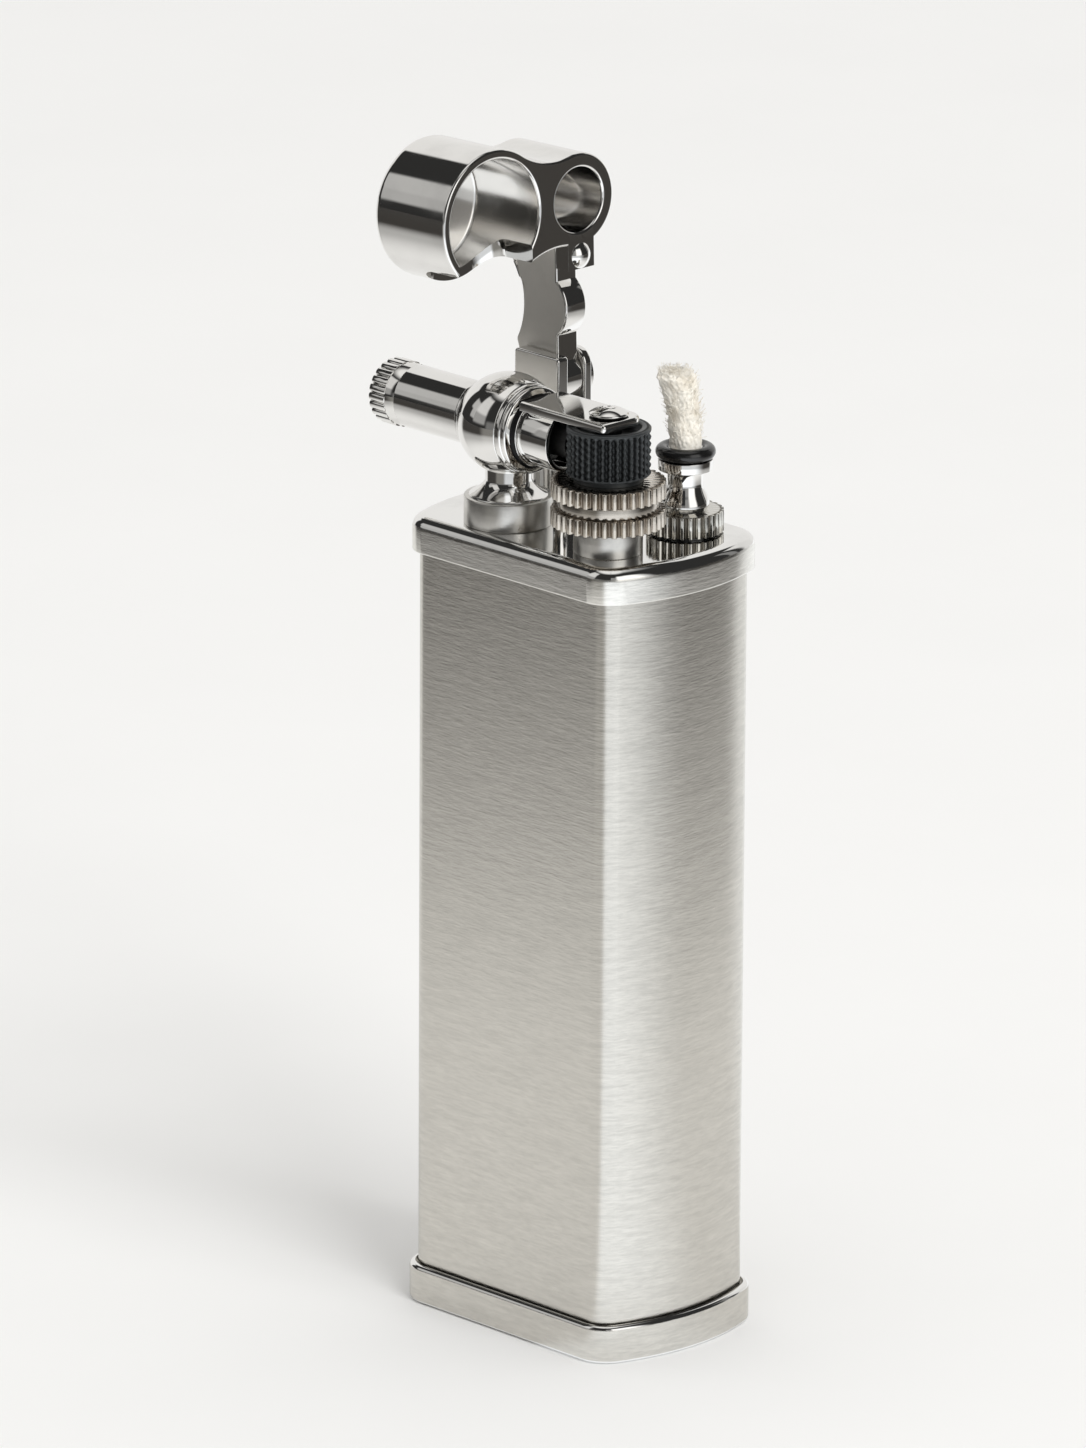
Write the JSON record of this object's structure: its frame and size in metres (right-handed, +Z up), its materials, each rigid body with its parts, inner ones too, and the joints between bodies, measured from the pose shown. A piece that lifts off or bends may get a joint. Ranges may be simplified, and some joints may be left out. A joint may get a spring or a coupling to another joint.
{
  "type": "petrol_lighter",
  "caption": "Slim upright petrol lighter with a knurled spark wheel, a flint tube through a ball, a cotton wick and a swinging double snuffer, shown open",
  "frame": {"origin": "centre of the underside of the base cap, where the lighter rests on a table", "axes": "+Z up; +X along the flint tube, from the flint screw to the spark wheel; +Y from the flint tube to the wick side"},
  "size_m": [0.0269, 0.0173, 0.0842],
  "materials": {
    "brushed_case": "fine brushed grain round the case",
    "bright_metal": "mirror-polished nickel plate",
    "satin_metal": "satin turned metal with fine lathe lines",
    "warm_nickel": "worn warm nickel on coarse knurling",
    "black_steel": "blackened file-cut steel",
    "black_rubber": "smooth glossy black rubber",
    "cotton": "off-white loose cotton",
    "inner_brass": "plain turned brass, inside",
    "spring_steel": "plain spring steel, inside",
    "flint_alloy": "dark grey flint"
  },
  "bodies": {
    "case": {"case_shell": "brushed_case", "base_cap": "bright_metal", "top_cap": "bright_metal", "cotton_packing": "cotton", "filler_bush": "inner_brass", "stand_drum": "satin_metal", "ball_stand": "bright_metal", "stand_nut": "inner_brass", "flint_tube": "bright_metal", "collar_ring": "bright_metal", "wheel_bracket": "bright_metal", "wheel_pillar": "satin_metal", "pillar_nut": "inner_brass", "wheel_spindle": "bright_metal", "hinge_bracket": "bright_metal", "bracket_nut": "inner_brass", "hinge_screw": "bright_metal", "lid_spring": "spring_steel", "flint_spring": "spring_steel"},
    "snuffer": {"lid_arm": "bright_metal", "snuffer_cups": "bright_metal", "arm_rivet": "bright_metal"},
    "wheel": {"thumb_wheel": "warm_nickel", "wheel_spacer": "black_steel", "spark_wheel": "black_steel"},
    "screw": {"flint_screw": "bright_metal"},
    "flint_feed": {"flint": "flint_alloy", "flint_follower": "inner_brass"},
    "filler": {"wick_holder": "bright_metal", "wick_gasket": "black_rubber", "o_ring": "black_rubber", "wick": "cotton"}
  },
  "joints": [
    {"name": "snuffer_hinge", "type": "hinge", "parent": "case", "child": "snuffer", "pos_m": [-0.00655, 0.0034, 0.0662], "axis": [0, 1, 0], "range_deg": [0, 91.7]},
    {"name": "wheel_spin", "type": "hinge", "parent": "case", "child": "wheel", "pos_m": [0.0062, -0.0037, 0.0627], "axis": [0, 0, 1], "continuous": true},
    {"name": "flint_screw_turn", "type": "hinge", "parent": "case", "child": "screw", "pos_m": [-0.0145, -0.0037, 0.06475], "axis": [1, 0, 0], "continuous": true},
    {"name": "flint_slide", "type": "slide", "parent": "case", "child": "flint_feed", "axis": [1, 0, 0], "range_m": [-0.0012, 0], "stiffness_N_per_m": 150, "springref_m": 0.004, "deforming": ["flint_spring"]},
    {"name": "filler_turn", "type": "hinge", "parent": "case", "child": "filler", "pos_m": [0.00645, 0.0035, 0.0585], "axis": [0, 0, 1], "continuous": true}
  ]
}
